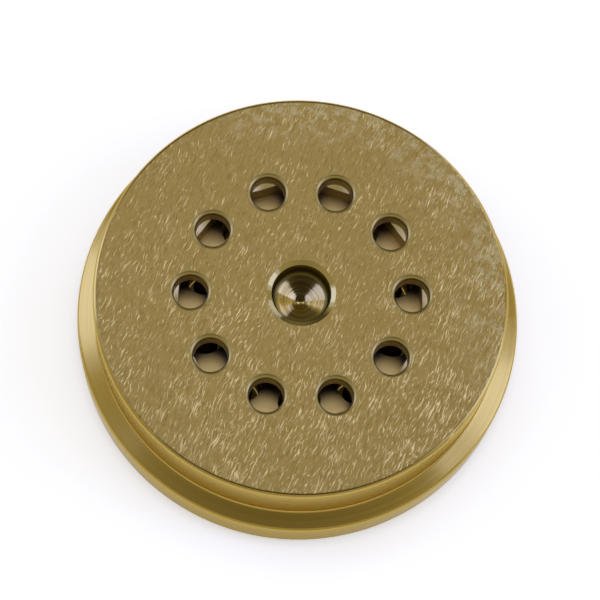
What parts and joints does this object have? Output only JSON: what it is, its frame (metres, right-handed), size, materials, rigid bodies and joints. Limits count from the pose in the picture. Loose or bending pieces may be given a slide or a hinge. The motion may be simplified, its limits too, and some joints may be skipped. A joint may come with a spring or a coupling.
{
  "type": "pasta extrusion die",
  "caption": "Round brass die for tube pasta: spigot and flange, ring of rounded inlets over a ring channel, blind auger seat, inset outlet plate and core pins.",
  "frame": {"origin": "centre of the outlet face, on the surface that the die lies on", "axes": "+Z along the die's axis, from the outlet face to the inlet face; one inlet lies on +X"},
  "size_m": [0.057, 0.057, 0.015],
  "materials": {
    "body_brass": "inlet face sanded, rim turned bright",
    "plate_brass": "turned and drilled",
    "pin_brass": "turned bright"
  },
  "bodies": {
    "root": {"die_body": "body_brass", "outlet_plate": "plate_brass", "core_pin_1": "pin_brass", "core_pin_2": "pin_brass", "core_pin_3": "pin_brass", "core_pin_4": "pin_brass", "core_pin_5": "pin_brass", "core_pin_6": "pin_brass", "core_pin_7": "pin_brass", "core_pin_8": "pin_brass", "core_pin_9": "pin_brass", "core_pin_10": "pin_brass"}
  },
  "joints": []
}
